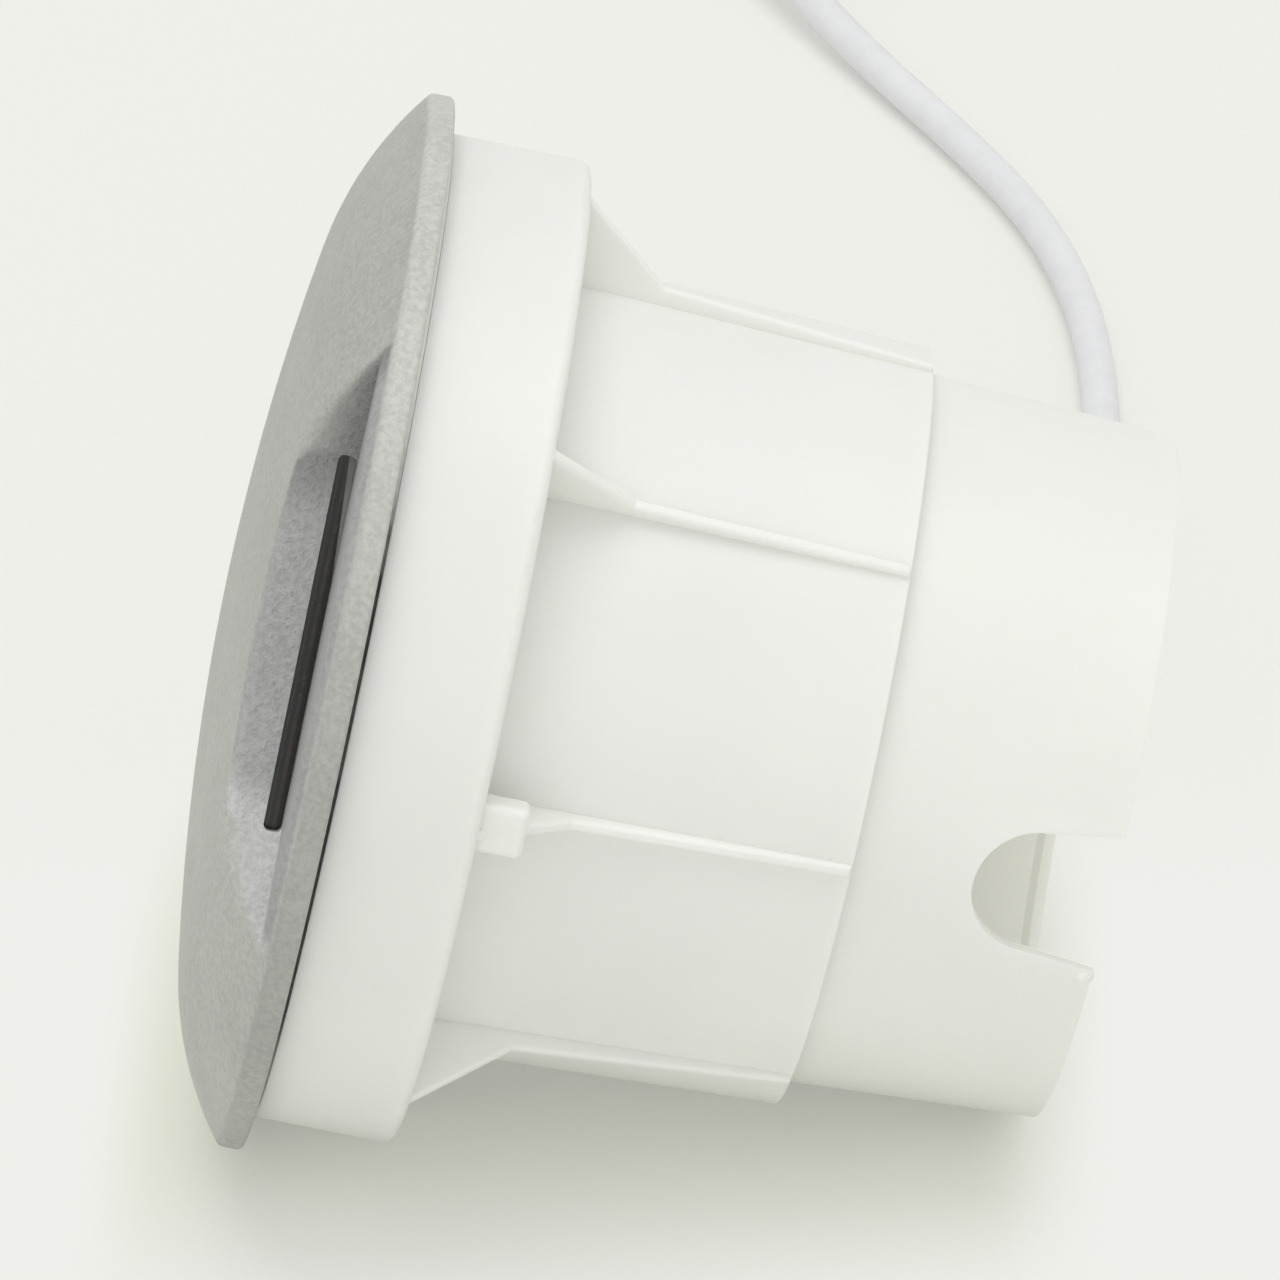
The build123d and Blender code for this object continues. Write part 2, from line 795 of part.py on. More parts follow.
# Cable gland: body, lock nut, seal and dome nut
gland_front = housing_rear - housing_wall - locknut_length - fit_clearance
hex_rear = housing_rear + gland_hex_length
neck_rear = hex_rear + gland_neck_length
seal_front = neck_rear - gland_seal_length
nut_front = hex_rear + fit_clearance
nut_rear = nut_front + gland_nut_length
seal_radius = (cable_radius + gland_neck_radius) / 2
with BuildPart() as gland_body:
    with BuildSketch(across(gland_front)):
        Circle(gland_thread_radius)
    extrude(amount=housing_rear - gland_front)
    with BuildSketch(across(housing_rear)):
        RegularPolygon(gland_flat, 6, major_radius=False)
    extrude(amount=gland_hex_length)
    with BuildSketch(across(hex_rear)):
        Circle(gland_neck_radius)
    extrude(amount=gland_neck_length)
    with BuildSketch(across(gland_front)):
        Circle(cable_radius + fit_clearance)
    extrude(amount=neck_rear - gland_front, mode=Mode.SUBTRACT)
    with BuildSketch(across(seal_front)):
        Circle(seal_radius + fit_clearance)
    extrude(amount=gland_seal_length, mode=Mode.SUBTRACT)
finish(gland_body, "gland_body")

with BuildPart() as gland_locknut:
    with BuildSketch(across(gland_front)):
        RegularPolygon(gland_flat, 6, major_radius=False)
        Circle(gland_thread_radius + fit_clearance, mode=Mode.SUBTRACT)
    extrude(amount=locknut_length)
finish(gland_locknut, "gland_locknut")

with BuildPart() as gland_seal:
    with BuildSketch(across(seal_front)):
        Circle(seal_radius)
        Circle(cable_radius + fit_clearance, mode=Mode.SUBTRACT)
    extrude(amount=gland_seal_length)
finish(gland_seal, "gland_seal")

with BuildPart() as gland_nut:
    with BuildSketch(across(nut_front)):
        Circle(gland_nut_radius)
    extrude(amount=gland_nut_length)
    fillet(gland_nut.edges().group_by(lamp_axis)[-1], radius=gland_nut_edge)
    with BuildSketch(across(nut_front)):
        Circle(gland_neck_radius + fit_clearance)
    extrude(amount=gland_neck_length + fit_clearance, mode=Mode.SUBTRACT)
    with BuildSketch(across(nut_front)):
        Circle(cable_radius + fit_clearance)
    extrude(amount=gland_nut_length, mode=Mode.SUBTRACT)
finish(gland_nut, "gland_nut")

# The cable's stretch through the gland, and its two cores inside the housing
with BuildPart() as cable_entry:
    with BuildSketch(across(entry_inner_end)):
        Circle(cable_radius)
    extrude(amount=nut_rear - entry_inner_end)
finish(cable_entry, "cable_entry")

terminal_u, terminal_side = terminal_place
terminal_wall = abs(terminal_side) - terminal_width / 2
core_turns = (terminal_u - lead_diameter, terminal_u + lead_diameter / 2)
core_labels = ("core_brown", "core_blue")
for label, turn_u, row in zip(core_labels, core_turns, (lead_spread / 2, -lead_spread / 2)):
    core_route = [
        inside(entry_inner_end, row, 0),
        inside(turn_u, row, 0),
        inside(turn_u, row, terminal_wall),
    ]
    finish(wire(core_route, lead_radius, lead_bend), label)

# White mounting sleeve: flange ring, ribbed body, step and notched skirt, open at both ends
skirt_inner_front = skirt_front_radius - skirt_wall
body_inner_rear = body_rear_radius - body_wall
end_lip_radius = skirt_rear_radius - skirt_wall - end_lip_height
notch_side = notch_radius + notch_centre_inset * tan(radians(notch_flare))
bead_angle = rib_angle + degrees((notch_side + bead_offset) / skirt_rear_radius)
rib_foot_u = flange_rear + gusset_length
rib_foot = body_front_radius - gusset_length * body_slope + rib_front_height
rib_root = body_wall / 2
rib_end_u = step_u - rib_end_gap
rib_end_row = body_rear_radius + rib_rear_height
rib_runs = (
    hypot(gusset_length, flange_radius - gusset_tip - rib_foot),
    hypot(rib_end_u - rib_foot_u, rib_foot - rib_end_row),
)


def is_outer_edge(edge):
    """Whether an edge of the rib is one of its long outer edges, told by its length."""
    return min(abs(edge.length - run) for run in rib_runs) < match_tolerance


with BuildPart() as rib:
    with BuildSketch(along(rib_angle)):
        Polygon(
            (flange_rear - flange_plate / 2, flange_radius - flange_wall),
            (flange_rear, flange_radius - gusset_tip),
            (rib_foot_u, rib_foot),
            (rib_end_u, rib_end_row),
            (rib_end_u, body_rear_radius - step_edge),
            (flange_rear - flange_plate / 2, body_front_radius - rib_root),
            align=None,
        )
    extrude(amount=rib_thickness / 2, both=True)
    fillet(rib.edges().filter_by(is_outer_edge), radius=rib_edge)

with BuildPart() as block:
    with BuildSketch(across(flange_rear - flange_plate / 2, rib_angle)):
        with Locations((flange_radius - block_inset - block_height / 2, block_shift)):
            Rectangle(block_height, block_width)
    extrude(amount=block_length + flange_plate / 2)
    fillet(block.edges(), radius=block_edge)

with BuildPart() as mounting_sleeve:
    with BuildSketch(along()) as sleeve_sketch:
        with BuildLine():
            Polyline(
                (flange_front, flange_radius),
                (flange_rear, flange_radius),
                (flange_rear, body_front_radius),
                (step_u, body_rear_radius),
                (step_u, skirt_front_radius),
                (skirt_rear, skirt_rear_radius),
                (skirt_rear, end_lip_radius),
                (skirt_rear - end_lip_width, end_lip_radius),
                (skirt_rear - end_lip_width - end_lip_slope, skirt_rear_radius - skirt_wall),
                (step_u - step_plate, skirt_inner_front),
                (step_u - step_plate, body_inner_rear),
                (flange_rear - flange_plate, body_front_radius - body_wall),
                (flange_rear - flange_plate, flange_radius - flange_wall),
                (flange_front, flange_radius - flange_wall),
                close=True,
            )
        make_face()
        corners = sleeve_sketch.vertices()
        fillet(corners.sort_by_distance((flange_rear, flange_radius))[0], radius=flange_edge)
        fillet(corners.sort_by_distance((flange_rear, body_front_radius))[0], radius=flange_root)
        fillet(corners.sort_by_distance((step_u, body_rear_radius))[0], radius=step_edge)
        fillet(corners.sort_by_distance((step_u, skirt_front_radius))[0], radius=flange_root)
        fillet(corners.sort_by_distance((skirt_rear, skirt_rear_radius))[0], radius=skirt_edge)
    revolve(axis=lamp_axis)
    for i in range(rib_count):
        add(rib.part.rotate(lamp_axis, i * 360 / rib_count))
    add(block.part)
    with Locations(lamp_point(skirt_rear - bead_inset, skirt_rear_radius - skirt_wall / 2, bead_angle)):
        Sphere(bead_radius)
    for angle in (rib_angle, rib_angle + 180):
        with BuildSketch(Plane(origin=lamp_origin, x_dir=rearward, z_dir=outward(angle))):
            with Locations((notch_u, 0)):
                Circle(notch_radius)
            Polygon(
                (notch_u, -notch_radius),
                (skirt_rear + bead_radius, -notch_side),
                (skirt_rear + bead_radius, notch_side),
                (notch_u, notch_radius),
                align=None,
            )
        extrude(amount=flange_radius, mode=Mode.SUBTRACT)
finish(mounting_sleeve, "mounting_sleeve")
print("sleeve volume", round(mounting_sleeve.part.volume, 1), "valid", mounting_sleeve.part.is_valid)

# The cable inside the skirt, from the gland to the far notch
far_angle = rib_angle + 180
exit_u = skirt_rear - cable_exit_inset
exit_row = skirt_rear_radius + cable_exit_inset * skirt_slope
inner_route = [
    lamp_point(nut_rear, 0, far_angle),
    lamp_point(exit_u, 0, far_angle),
    lamp_point(exit_u, exit_row, far_angle),
]
inner_bend = (exit_u - nut_rear) * inner_bend_share
finish(wire(inner_route, cable_radius, inner_bend), "cable_inner")

# The cable's free stretch: out of the notch, down to the table, round to the left and on to
# the coil, whose upper layer it meets level
coil_low = cable_radius
coil_high = coil_low + cable_diameter + coil_layer_gap
entry_heading = Vector(sin(radians(coil_entry_angle)), -cos(radians(coil_entry_angle)), 0)
entry_side = Vector(cos(radians(coil_entry_angle)), sin(radians(coil_entry_angle)), 0)
coil_start = Vector(coil_centre_x, coil_centre_y, coil_high) + entry_side * coil_turn_radius
coil_mouth = coil_start - entry_heading * cable_diameter
cable_exit = lamp_point(exit_u, exit_row, far_angle)
cable_route = [
    cable_exit,
    cable_exit + outward(far_angle) * cable_lead_out,
    *[Vector(x, y, height + cable_radius) for x, y, height in cable_places],
    coil_mouth - entry_heading * cable_lead_in,
    coil_mouth,
]
cable_bends = smooth_radii(cable_route)
print("cable radii", [round(radius, 1) for radius in cable_bends])
finish(wire(cable_route, cable_radius, cable_bends), "supply_cable")


def biarc(start, start_heading, end, end_heading):
    """Two tangent arcs from one point and heading to another."""
    span = end - start
    both = start_heading + end_heading
    scale = 2 * (1 - start_heading.dot(end_heading))
    reach = (((span.dot(both)) ** 2 + scale * span.dot(span)) ** 0.5 - span.dot(both)) / scale
    middle = (start + end + (start_heading - end_heading) * reach) * 0.5
    middle_heading = (end - end_heading * reach - start - start_heading * reach).normalized()
    with BuildLine() as pair:
        TangentArc(start, middle, tangent=start_heading)
        TangentArc(middle, end, tangent=middle_heading)
    return pair.edges()


def half_turn(start, heading, radius, drop):
    """Clockwise half turn from a point and heading, sinking by drop, as four arcs."""
    inward = Vector(heading.Y, -heading.X, 0)
    down = Vector(0, 0, -1)
    corner = start + (inward + heading) * radius + down * (drop / 2)
    end = start + inward * (2 * radius) + down * drop
    corner_heading = (inward + down * (drop / (2 * radius))).normalized()
    return [*biarc(start, heading, corner, corner_heading), *biarc(corner, corner_heading, end, -heading)]


def coil_edges():
    """Edges of the coil: inward in the upper layer, down, and outward in the lower one."""
    place = coil_start
    heading = entry_heading
    edges = [Edge.make_line(coil_mouth, coil_start)]
    step = coil_pitch / 2
    inward_radii = [coil_turn_radius - i * step for i in range(coil_half_turns)]
    drop_radius = coil_turn_radius - coil_half_turns * step
    for radius in [*inward_radii, drop_radius, *reversed(inward_radii)]:
        drop = coil_high - coil_low if radius == drop_radius else 0
        edges.extend(half_turn(place, heading, radius, drop))
        place = edges[-1] @ 1
        heading = -heading
    edges.append(Edge.make_line(place, place + heading * cable_diameter))
    return edges


def least_gap(path, diameter, samples):
    """Least clear gap of a tube to itself, from points along its path."""
    points = [path @ (i / samples) for i in range(samples + 1)]
    apart = int(samples * 4 * diameter / path.length) + 1
    gaps = [
        (points[i] - points[j]).length
        for i in range(samples + 1)
        for j in range(i + apart, samples + 1)
    ]
    return min(gaps) - diameter


coil_path = Wire(coil_edges())
with BuildPart() as cable_coil:
    with BuildSketch(Plane(origin=coil_mouth, z_dir=entry_heading)):
        Circle(cable_radius)
    sweep(path=coil_path)
coil_ratio = cable_coil.part.volume / (pi * cable_radius**2 * coil_path.length)
print("coil length", round(coil_path.length, 1), "volume ratio", round(coil_ratio, 4))
print("coil least gap", round(least_gap(coil_path, cable_diameter, coil_samples), 3))
finish(cable_coil, "cable_coil")

# The two bare cores at the cable's end, with their ferrules
tail = coil_path @ 1
tail_heading = coil_path % 1
tail_side = Vector(-tail_heading.Y, tail_heading.X, 0)
core_reach = conductor_length - ferrule_length
core_ends = []
for label, hand in (("tail_core_brown", 1), ("tail_core_blue", -1)):
    core_end = tail + tail_heading * core_reach + tail_side * (hand * conductor_spread)
    tail_route = [
        tail + tail_side * (hand * lead_spread / 2),
        tail + tail_heading * (core_reach / 3) + tail_side * (hand * lead_spread / 2),
        core_end - tail_heading * (core_reach / 3),
        core_end,
    ]
    finish(wire(tail_route, lead_radius, smooth_radii(tail_route)), label)
    core_ends.append(core_end)

with BuildPart() as ferrules:
    for core_end in core_ends:
        with BuildSketch(Plane(origin=core_end, z_dir=tail_heading)):
            Circle(ferrule_collar_radius)
        extrude(amount=ferrule_collar_length)
        with BuildSketch(Plane(origin=core_end, z_dir=tail_heading)):
            Circle(ferrule_radius)
        extrude(amount=ferrule_length)
finish(ferrules, "ferrules")
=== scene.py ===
"""In-ground spotlight lying on its side on a table: the finish of each piece, its lead and the light."""
import json
import logging
import math
from dataclasses import dataclass
from enum import Enum

import bpy
from mathutils import Matrix, Vector


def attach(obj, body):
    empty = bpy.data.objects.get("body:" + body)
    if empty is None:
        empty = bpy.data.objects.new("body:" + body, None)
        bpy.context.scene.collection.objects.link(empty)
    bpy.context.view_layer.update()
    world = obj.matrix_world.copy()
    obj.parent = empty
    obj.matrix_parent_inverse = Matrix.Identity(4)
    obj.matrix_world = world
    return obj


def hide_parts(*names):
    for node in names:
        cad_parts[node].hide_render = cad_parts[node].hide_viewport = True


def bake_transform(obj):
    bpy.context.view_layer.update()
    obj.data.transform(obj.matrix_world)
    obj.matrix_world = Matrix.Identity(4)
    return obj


log = logging.getLogger("spotlight")
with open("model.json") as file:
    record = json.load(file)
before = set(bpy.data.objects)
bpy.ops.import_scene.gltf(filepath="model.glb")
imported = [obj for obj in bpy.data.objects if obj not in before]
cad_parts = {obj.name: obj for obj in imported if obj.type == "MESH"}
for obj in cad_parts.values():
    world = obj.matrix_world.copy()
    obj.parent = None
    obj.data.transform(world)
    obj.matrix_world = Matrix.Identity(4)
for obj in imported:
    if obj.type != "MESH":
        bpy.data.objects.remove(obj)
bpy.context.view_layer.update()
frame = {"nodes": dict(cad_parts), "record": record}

MM = 0.001

# The lying lamp's own axis, as the construction has it
TILT = math.radians(13.7337)
LAMP_ORIGIN = Vector((-32.2856, 0.0, 48.9855)) * MM
REARWARD = Vector((math.cos(TILT), 0.0, -math.sin(TILT)))
LAMP_UP = Vector((math.sin(TILT), 0.0, math.cos(TILT)))


def outward(angle: float) -> Vector:
    """Give the direction square to the lamp's axis, at an angle from its top towards the viewer.

    Args:
        angle: The angle in degrees.

    Returns:
        A unit vector.
    """
    turn = math.radians(angle)
    return LAMP_UP * math.cos(turn) + Vector((0.0, -math.sin(turn), 0.0))


def lamp_point(u: float, row: float, angle: float) -> Vector:
    """Give the point at u behind the rim's front plane and row from the lamp's axis.

    Args:
        u: Distance behind the rim plane in millimetres.
        row: Distance from the axis in millimetres.
        angle: Angle from the lamp's top towards the viewer, in degrees.

    Returns:
        The point in metres.
    """
    return LAMP_ORIGIN + (REARWARD * u + outward(angle) * row) * MM


class Signal:
    """A shader socket whose operators add the nodes that work them out.

    Numbers go through Math nodes, colours and vectors through Vector Math nodes.
    """

    def __init__(self, tree: bpy.types.NodeTree, socket: bpy.types.NodeSocket) -> None:
        """Wrap a socket of a node tree."""
        self.tree = tree
        self.socket = socket

    def _is_triple(self) -> bool:
        """Tell whether the socket carries a colour or a vector."""
        return self.socket.type in ("RGBA", "VECTOR")

    def _math(self, operation: str, *values: "Signal | float | tuple") -> "Signal":
        """Add the node that works out an operation on the given values.

        Args:
            operation: The node's operation.
            *values: Signals, numbers or colours, in the order of the node's sockets.

        Returns:
            The result: a colour when any value is one, else a number.
        """
        triple = any(
            value._is_triple() if isinstance(value, Signal) else isinstance(value, (tuple, Vector))
            for value in values
        )
        node = self.tree.nodes.new("ShaderNodeVectorMath" if triple else "ShaderNodeMath")
        node.operation = operation
        for place, value in enumerate(values):
            if isinstance(value, Signal):
                self.tree.links.new(value.socket, node.inputs[place])
            elif triple and isinstance(value, (int, float)):
                node.inputs[place].default_value = (value,) * 3
            else:
                node.inputs[place].default_value = value
        return Signal(self.tree, node.outputs[0])

    def __add__(self, other: "Signal | float | tuple") -> "Signal":
        """Add two values."""
        return self._math("ADD", self, other)

    def __radd__(self, other: "float | tuple") -> "Signal":
        """Add to a value."""
        return self._math("ADD", other, self)

    def __sub__(self, other: "Signal | float | tuple") -> "Signal":
        """Take a value away."""
        return self._math("SUBTRACT", self, other)

    def __rsub__(self, other: "float | tuple") -> "Signal":
        """Take this from a value."""
        return self._math("SUBTRACT", other, self)

    def __mul__(self, other: "Signal | float | tuple") -> "Signal":
        """Multiply two values."""
        return self._math("MULTIPLY", self, other)

    def __rmul__(self, other: "float | tuple") -> "Signal":
        """Multiply a value."""
        return self._math("MULTIPLY", other, self)

    def __truediv__(self, other: "Signal | float | tuple") -> "Signal":
        """Divide by a value."""
        return self._math("DIVIDE", self, other)

    def __rtruediv__(self, other: "float | tuple") -> "Signal":
        """Divide a value by this."""
        return self._math("DIVIDE", other, self)

    def __pow__(self, other: float) -> "Signal":
        """Raise to a power."""
        return self._math("POWER", self, other)

    def __abs__(self) -> "Signal":
        """Give the size of a value."""
        return self._math("ABSOLUTE", self)

    def largest(self, other: "Signal | float") -> "Signal":
        """Give the larger of two values."""
        return self._math("MAXIMUM", self, other)

    def ramp(self, low: float, high: float, to_low: float = 0.0, to_high: float = 1.0) -> "Signal":
        """Carry a range smoothly to another one.

        Args:
            low: Value that gives to_low.
            high: Value that gives to_high.
            to_low: Result at and below low.
            to_high: Result at and above high.

        Returns:
            The carried value.
        """
        node = self.tree.nodes.new("ShaderNodeMapRange")
        node.interpolation_type = "SMOOTHSTEP"
        self.tree.links.new(self.socket, node.inputs["Value"])
        for name, value in (("From Min", low), ("From Max", high), ("To Min", to_low), ("To Max", to_high)):
            node.inputs[name].default_value = value
        return Signal(self.tree, node.outputs["Result"])


Colour = tuple[float, float, float]
Value = "Signal | float | tuple | Vector"


class Recipe:
    """A material's nodes, written as expressions on its Principled shader."""

    def __init__(self, name: str) -> None:
        """Start a material."""
        self.material = bpy.data.materials.new(name)
        self.material.use_nodes = True
        self.tree = self.material.node_tree
        self.shader = self.tree.nodes["Principled BSDF"]
        self.output = self.tree.nodes["Material Output"]

    def node(self, kind: str, output: str = "", settings: dict | None = None, **inputs: Value) -> Signal:
        """Add any node.

        Args:
            kind: The node's type.
            output: Name of the output to return; the first one when empty.
            settings: The node's own settings, set before its sockets.
            **inputs: Values or signals of its sockets, with _ for a space in a name.

        Returns:
            The chosen output.
        """
        node = self.tree.nodes.new(kind)
        for name, value in (settings or {}).items():
            setattr(node, name, value)
        for name, value in inputs.items():
            self.feed(node, name.replace("_", " "), value)
        return Signal(self.tree, node.outputs[output] if output else node.outputs[0])

    def feed(self, node: bpy.types.Node, name: str, value: Value) -> None:
        """Set or link one socket of a node."""
        socket = next(s for s in node.inputs if s.name == name and s.enabled)
        if isinstance(value, Signal):
            self.tree.links.new(value.socket, socket)
        else:
            socket.default_value = value

    def place(self) -> Signal:
        """Give the point on the piece in the lamp's frame, in metres."""
        return self.node("ShaderNodeTexCoord", "Object")

    def along(self, direction: Vector, origin: Vector) -> Signal:
        """Give how far a point lies along a direction from an origin, in metres."""
        dot = self.node("ShaderNodeVectorMath", "Value", {"operation": "DOT_PRODUCT"})
        vector_math = dot.socket.node
        self.tree.links.new(self.place().socket, vector_math.inputs[0])
        vector_math.inputs[1].default_value = direction
        return dot - origin.dot(direction)

    def row(self) -> Signal:
        """Give a point's distance from the lamp's axis, in metres."""
        up = self.along(LAMP_UP, LAMP_ORIGIN)
        side = self.along(Vector((0.0, 1.0, 0.0)), LAMP_ORIGIN)
        return (up * up + side * side) ** 0.5

    def noise(self, size: float, detail: float = 3.0, rough: float = 0.5) -> Signal:
        """Give noise whose patches are about size metres across."""
        return self.node(
            "ShaderNodeTexNoise", "Fac", Vector=self.place(), Scale=1 / size, Detail=detail, Roughness=rough
        )

    def blend(self, factor: Signal | float, first: Value, second: Value) -> Signal:
        """Mix two colours."""
        node = self.tree.nodes.new("ShaderNodeMix")
        node.data_type = "RGBA"
        for place, value in ((0, factor), (6, first), (7, second)):
            if isinstance(value, Signal):
                self.tree.links.new(value.socket, node.inputs[place])
            elif place:
                node.inputs[place].default_value = (*value, 1.0)
            else:
                node.inputs[place].default_value = value
        return Signal(self.tree, node.outputs[2])

    def bump(self, height: Signal, depth: float, strength: float = 1.0) -> None:
        """Raise the surface by a height of 0 to 1, over a depth in metres."""
        normal = self.node("ShaderNodeBump", Strength=strength, Distance=depth, Height=height)
        self.feed(self.shader, "Normal", normal)

    def set(self, **inputs: Value) -> None:
        """Set the shader's own sockets."""
        for name, value in inputs.items():
            if name == "Base_Color" and not isinstance(value, Signal):
                value = (*value, 1.0)
            self.feed(self.shader, name.replace("_", " "), value)


@dataclass(frozen=True)
class PowderCoat:
    """Textured powder coat: a wrinkled grain, coarser in the scoop, with painted shade on the scoop's walls,
    floor and upper end, painted light at its low end, painted light lower on the dome, and on the rim a
    painted highlight above and painted shade below.
    """

    colour: Colour
    grain: float = 0.62 * MM
    depth: float = 0.17 * MM
    roughness: float = 0.42
    scoop_angle: float = 64.04
    scoop_back: float = 33.2
    scoop_half_foot: float = 17.4
    scoop_flare: float = 56.5
    rim_row: float = 49.4
    # Painted shade on the scoop's walls, floor and upper end, painted light at its low end
    wall_tint: Colour = (0.93, 0.92, 0.98)
    top_end_tint: float = 0.66
    low_end_tint: float = 1.42
    floor_tint: float = 0.92
    top_end_fade: tuple[float, float] = (0.5, 7.0)
    low_end_fade: tuple[float, float] = (0.8, 4.5)
    cloud: float = 9 * MM
    dark_share: float = 0.86
    light_share: float = 1.1
    # Painted light by height: paler lower on the dome; on the rim a painted highlight above and painted shade
    # below
    dome_tone: tuple[float, float, float, float] = (-10.0, 25.0, 1.09, 1.0)
    rim_tone: tuple[float, float, float, float] = (10.0, 47.0, 0.93, 1.32)
    scoop_grain: float = 0.9

    def scoop(self, recipe: Recipe) -> tuple[Signal, Signal]:
        """Work out where the scoop is, and the painted shade and light on its walls.

        Args:
            recipe: The material being made.

        Returns:
            A mask that is 1 in the scoop, and the colour that the coat is multiplied by there: painted shade
            on the walls, the floor and the upper end, painted light at the low end.
        """
        reach = recipe.along(outward(self.scoop_angle), LAMP_ORIGIN) / MM
        down = recipe.along(REARWARD.cross(outward(self.scoop_angle)), LAMP_ORIGIN) / MM
        half = (reach - self.scoop_back) * math.tan(math.radians(self.scoop_flare)) + self.scoop_half_foot
        within = (half - abs(down)).ramp(-1.2, 0.0) * reach.ramp(self.scoop_back - 2.0, self.scoop_back - 1.0)
        inside = within * recipe.row().ramp(self.rim_row * MM, (self.rim_row - 0.4) * MM)
        # Painted shade towards the scoop's upper end and on its floor, painted light towards its low end
        top_end_shade = (half + down).ramp(*self.top_end_fade, self.top_end_tint, 1.0)
        low_end_light = (half - down).ramp(*self.low_end_fade, self.low_end_tint, 1.0)
        floor_shade = reach.ramp(self.scoop_back + 0.2, self.scoop_back + 1.2, 1.0, self.floor_tint)
        return inside, top_end_shade * low_end_light * floor_shade * self.wall_tint

    def material(self, name: str) -> bpy.types.Material:
        """Make the coat."""
        recipe = Recipe(name)
        grain = recipe.noise(self.grain, 2.0, 0.6)
        fine = recipe.noise(self.grain * 0.4, 1.0)
        cloud = recipe.noise(self.cloud, 3.0)
        dark = tuple(c * self.dark_share for c in self.colour)
        light = tuple(c * self.light_share for c in self.colour)
        coat = recipe.blend(grain.ramp(0.3, 0.7) * 0.75 + cloud.ramp(0.3, 0.7) * 0.25, dark, light)
        height = recipe.along(LAMP_UP, LAMP_ORIGIN) / MM
        rim = recipe.row().ramp((self.rim_row - 0.2) * MM, (self.rim_row + 0.3) * MM)
        # Painted light by height on the dome, and a painted highlight above and painted shade below on the
        # rim
        dome_tone = height.ramp(*self.dome_tone)
        rim_tone = height.ramp(*self.rim_tone)
        # The scoop's colour factor carries its painted shade and painted light
        inside, tint = self.scoop(recipe)
        coat_with_painted_light = coat * (dome_tone * (1.0 - rim) + rim_tone * rim)
        recipe.set(Base_Color=recipe.blend(inside, coat_with_painted_light, coat * tint))
        recipe.set(Roughness=self.roughness + fine * 0.12)
        recipe.bump((grain * 0.75 + fine * 0.25) * (1.0 + inside * self.scoop_grain), self.depth)
        recipe.set(Specular_IOR_Level=0.45)
        return recipe.material


@dataclass(frozen=True)
class MouldedPlastic:
    """Injection-moulded plastic: nearly smooth, with faint flow and a soft sheen.

    Inside a thin white sleeve the bore is painted light: a paler, warmer colour, and a painted glow, an
    emission that stands for the light that comes through its wall.
    """

    colour: Colour
    roughness: float = 0.42
    depth: float = 0.012 * MM
    glow: float = 0.0
    grain: float = 0.6 * MM
    bore_colour: Colour | None = None
    bore_glow: float = 0.13
    bore_row: float = 31.6
    bore_edge: float = 0.3
    bore_front: float = 48.0
    bore_fade: float = 2.0
    glow_radius: Colour = (1.0, 0.95, 0.8)
    glow_scale: float = 2.0 * MM

    def material(self, name: str) -> bpy.types.Material:
        """Make the plastic."""
        recipe = Recipe(name)
        flow = recipe.noise(14 * MM, 3.0)
        grain = recipe.noise(self.grain, 2.0)
        shade = tuple(c * 0.985 for c in self.colour)
        skin = recipe.blend(flow.ramp(0.35, 0.65), shade, self.colour)
        # Painted light in the bore: a paler, warmer colour and a faint emission standing for light through
        # the wall
        if self.bore_colour:
            depth = recipe.along(REARWARD, LAMP_ORIGIN) / MM
            behind = depth.ramp(self.bore_front, self.bore_front + self.bore_fade)
            bore = recipe.row().ramp(self.bore_row * MM, (self.bore_row - self.bore_edge) * MM) * behind
            skin = recipe.blend(bore, skin, self.bore_colour)
            recipe.set(Emission_Color=recipe.blend(bore, (0.0, 0.0, 0.0), self.bore_colour))
            recipe.set(Emission_Strength=self.bore_glow)
        recipe.set(Base_Color=skin)
        recipe.set(Roughness=self.roughness + flow * 0.08)
        recipe.bump(grain, self.depth)
        if self.glow:
            recipe.set(Subsurface_Weight=self.glow)
            recipe.set(Subsurface_Radius=self.glow_radius, Subsurface_Scale=self.glow_scale)
        return recipe.material


@dataclass(frozen=True)
class CastMetal:
    """Shot-blasted die casting."""

    colour: Colour
    roughness: float = 0.5
    metallic: float = 1.0
    grain: float = 0.5 * MM
    depth: float = 0.03 * MM

    def material(self, name: str) -> bpy.types.Material:
        """Make the casting's skin."""
        recipe = Recipe(name)
        grain = recipe.noise(self.grain, 3.0, 0.6)
        stain = recipe.noise(11 * MM, 4.0)
        dull = tuple(c * 0.82 for c in self.colour)
        recipe.set(Base_Color=recipe.blend(stain.ramp(0.3, 0.72), dull, self.colour))
        recipe.set(Roughness=self.roughness + grain * 0.15, Metallic=self.metallic)
        recipe.bump(grain, self.depth)
        return recipe.material


@dataclass(frozen=True)
class TurnedSteel:
    """Turned or rolled steel with fine tool lines."""

    colour: Colour
    roughness: float = 0.28
    pitch: float = 0.12 * MM
    depth: float = 0.006 * MM

    def material(self, name: str) -> bpy.types.Material:
        """Make the steel."""
        recipe = Recipe(name)
        depth = recipe.along(REARWARD, LAMP_ORIGIN)
        lines = recipe.node(
            "ShaderNodeTexNoise", "Fac", {"noise_dimensions": "1D"}, W=depth, Scale=1 / self.pitch
        )
        smudge = recipe.noise(4 * MM, 3.0)
        dull = tuple(c * 0.85 for c in self.colour)
        recipe.set(Base_Color=recipe.blend(smudge.ramp(0.3, 0.7), dull, self.colour))
        recipe.set(Metallic=1.0, Roughness=self.roughness + smudge * 0.12)
        recipe.bump(lines, self.depth)
        return recipe.material


